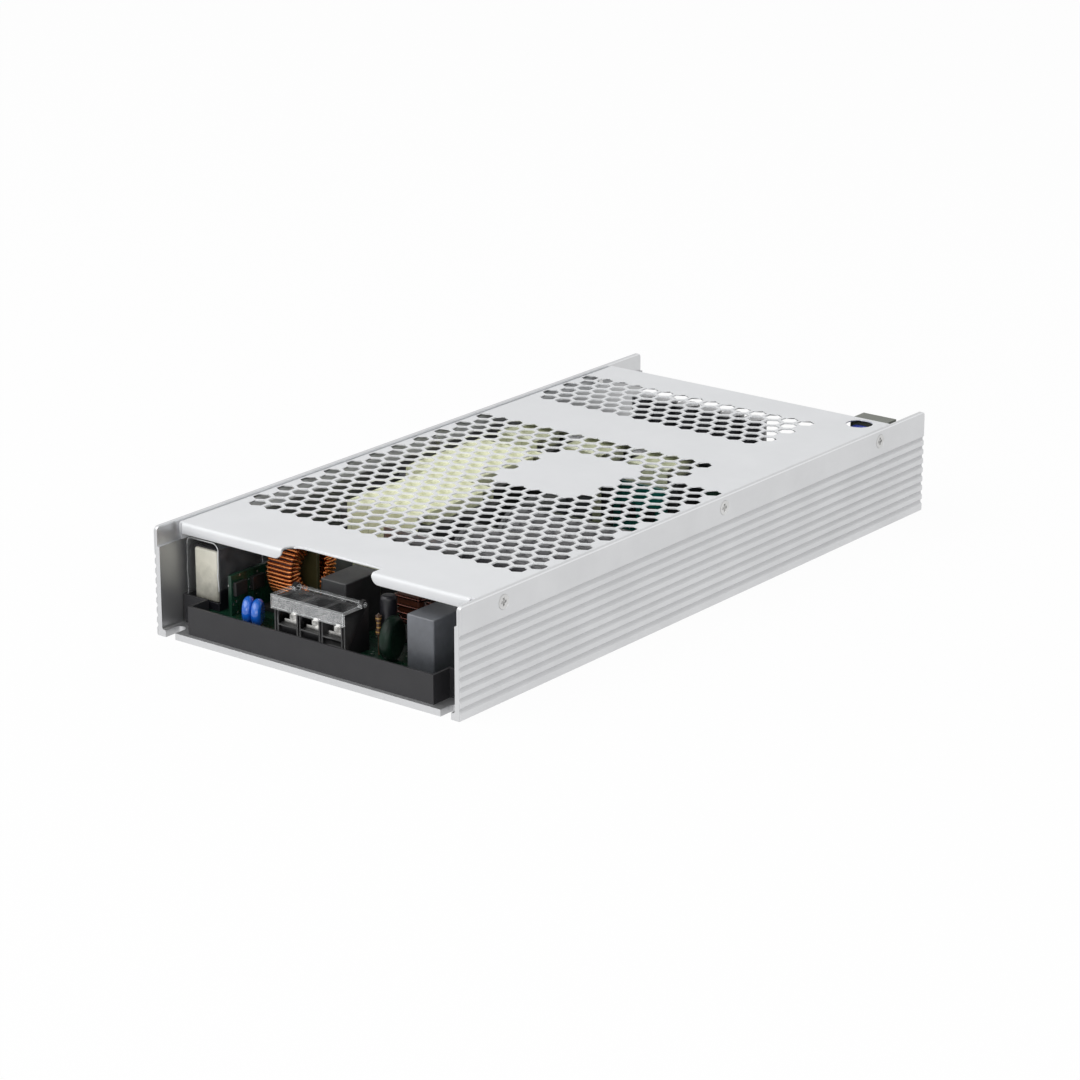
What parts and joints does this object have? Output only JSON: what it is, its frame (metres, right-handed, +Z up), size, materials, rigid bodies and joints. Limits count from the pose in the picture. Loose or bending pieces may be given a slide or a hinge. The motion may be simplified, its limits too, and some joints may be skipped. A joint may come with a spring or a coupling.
{
  "type": "enclosed switching power supply",
  "caption": "Slim fanless power supply: grooved aluminium channel, honeycomb-perforated cover, open wiring ends, barrier terminals under a clear hinged cover.",
  "frame": {"origin": "middle of the chassis underside", "axes": "+Y along the length towards the output end, +X to the right seen from the input end, +Z up"},
  "size_m": [0.14, 0.29, 0.041],
  "materials": {
    "chassis_aluminium": "satin",
    "cover_aluminium": "matte",
    "heatsink_aluminium": "satin",
    "can_aluminium": "satin",
    "screw_steel": "satin",
    "terminal_tin": "bright",
    "standoff_brass": "satin",
    "copper_wire": "enamelled",
    "copper_red": "enamelled",
    "ferrite_grey": "matte",
    "core_brown": "lacquered",
    "tray_black": "matte",
    "terminal_black": "satin",
    "chip_black": "matte",
    "sleeve_dark": "satin",
    "box_black": "satin",
    "box_grey": "satin",
    "board_green": "satin",
    "board_teal": "satin",
    "capacitor_cream": "satin",
    "connector_grey": "matte",
    "divider_olive": "satin",
    "tape_yellow": "satin",
    "tape_olive": "satin",
    "trimmer_blue": "glossy",
    "disc_blue": "glossy",
    "disc_green": "glossy",
    "resistor_tan": "glossy",
    "can_sleeve": "satin",
    "clear_cover": "clear",
    "clear_film": "clear"
  },
  "bodies": {
    "enclosure": {"chassis": "chassis_aluminium", "top_cover": "cover_aluminium", "cover_screws": "screw_steel", "insulating_tray": "tray_black", "main_board": "board_green", "board_standoffs": "standoff_brass", "board_screws": "screw_steel", "terminal_block": "terminal_black", "terminal_plates": "terminal_tin", "terminal_washers": "terminal_tin", "terminal_screws": "terminal_tin", "line_capacitor": "capacitor_cream", "line_capacitor_sleeve": "sleeve_dark", "insulating_film": "clear_film", "control_board": "board_green", "control_chips": "chip_black", "y_capacitors": "disc_blue", "x_capacitor": "box_black", "filter_capacitor": "box_grey", "varistor": "disc_green", "input_fuse": "sleeve_dark", "bleed_resistor": "resistor_tan", "choke_core": "core_brown", "choke_winding_front": "copper_wire", "choke_winding_rear": "copper_wire", "choke_divider": "divider_olive", "choke_base": "chip_black", "second_choke_core": "core_brown", "second_choke_winding": "copper_red", "second_choke_base": "chip_black", "inrush_relay": "chip_black", "rectifier_bridge": "chip_black", "bridge_heatsink": "heatsink_aluminium", "rectifier_capacitor": "box_grey", "standby_core": "ferrite_grey", "standby_coil": "tape_yellow", "boost_core": "ferrite_grey", "boost_coil": "tape_yellow", "main_core": "ferrite_grey", "main_coil": "tape_yellow", "output_core": "ferrite_grey", "output_coil": "tape_olive", "bulk_capacitors": "can_sleeve", "capacitor_ends": "can_aluminium", "resonant_capacitors": "box_grey", "primary_heatsink": "heatsink_aluminium", "primary_transistors": "chip_black", "driver_board": "board_teal", "driver_chips": "chip_black", "output_heatsink": "heatsink_aluminium", "output_transistors": "chip_black", "output_capacitors": "can_sleeve", "output_base": "terminal_black", "output_bars": "terminal_tin", "output_screws": "terminal_tin", "signal_board": "board_green", "signal_connector": "connector_grey", "trimmer_body": "trimmer_blue"},
    "clear_terminal_cover": {"terminal_cover": "clear_cover"},
    "adjuster_rotor": {"trimmer_rotor": "trimmer_blue"}
  },
  "joints": [
    {"name": "terminal_cover_hinge", "type": "hinge", "parent": "enclosure", "child": "clear_terminal_cover", "pos_m": [-0.0004, -0.1302, 0.0259], "axis": [-1, 0, 0], "range_deg": [0, 100]},
    {"name": "trimmer_turn", "type": "hinge", "parent": "enclosure", "child": "adjuster_rotor", "pos_m": [0.058, 0.1165, 0.0377], "axis": [0, 0, 1], "range_deg": [-135, 135]}
  ]
}
